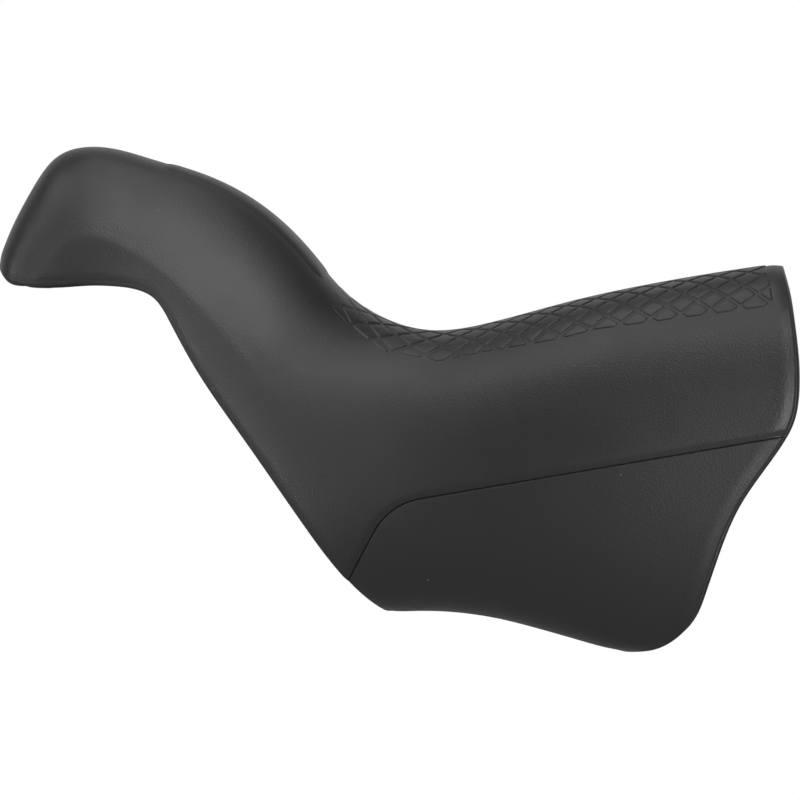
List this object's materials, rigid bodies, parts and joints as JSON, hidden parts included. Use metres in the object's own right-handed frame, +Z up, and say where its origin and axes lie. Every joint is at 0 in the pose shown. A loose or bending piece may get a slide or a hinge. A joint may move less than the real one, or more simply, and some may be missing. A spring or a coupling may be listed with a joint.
{
  "type": "brake shift lever hood",
  "caption": "Hollow moulded rubber hood for a road brake and shift lever, with a tall horn, scaled palm rest and thinner skirt.",
  "frame": {"origin": "middle of the rear mouth, where the lever body meets the handlebar, on the mirror plane", "axes": "+X backwards out of the rear mouth, -X towards the horn, +Y across the hood, +Z up"},
  "size_m": [0.1404, 0.0394, 0.0896],
  "materials": {
    "grip_rubber": "matte moulded rubber with a fine grain",
    "skirt_rubber": "matte moulded rubber, slightly smoother",
    "scale_rubber": "satin moulded rubber on raised scales",
    "pad_rubber": "smooth matte rubber",
    "inner_rubber": "unpolished matte rubber"
  },
  "bodies": {
    "root": {"grip_skin": "grip_rubber", "lower_skirt": "skirt_rubber", "palm_scales": "scale_rubber", "horn_crest_pad": "pad_rubber", "rear_cuff_bead": "inner_rubber", "nose_hook": "inner_rubber", "inner_ribs": "inner_rubber", "locating_tabs": "inner_rubber"}
  },
  "joints": []
}
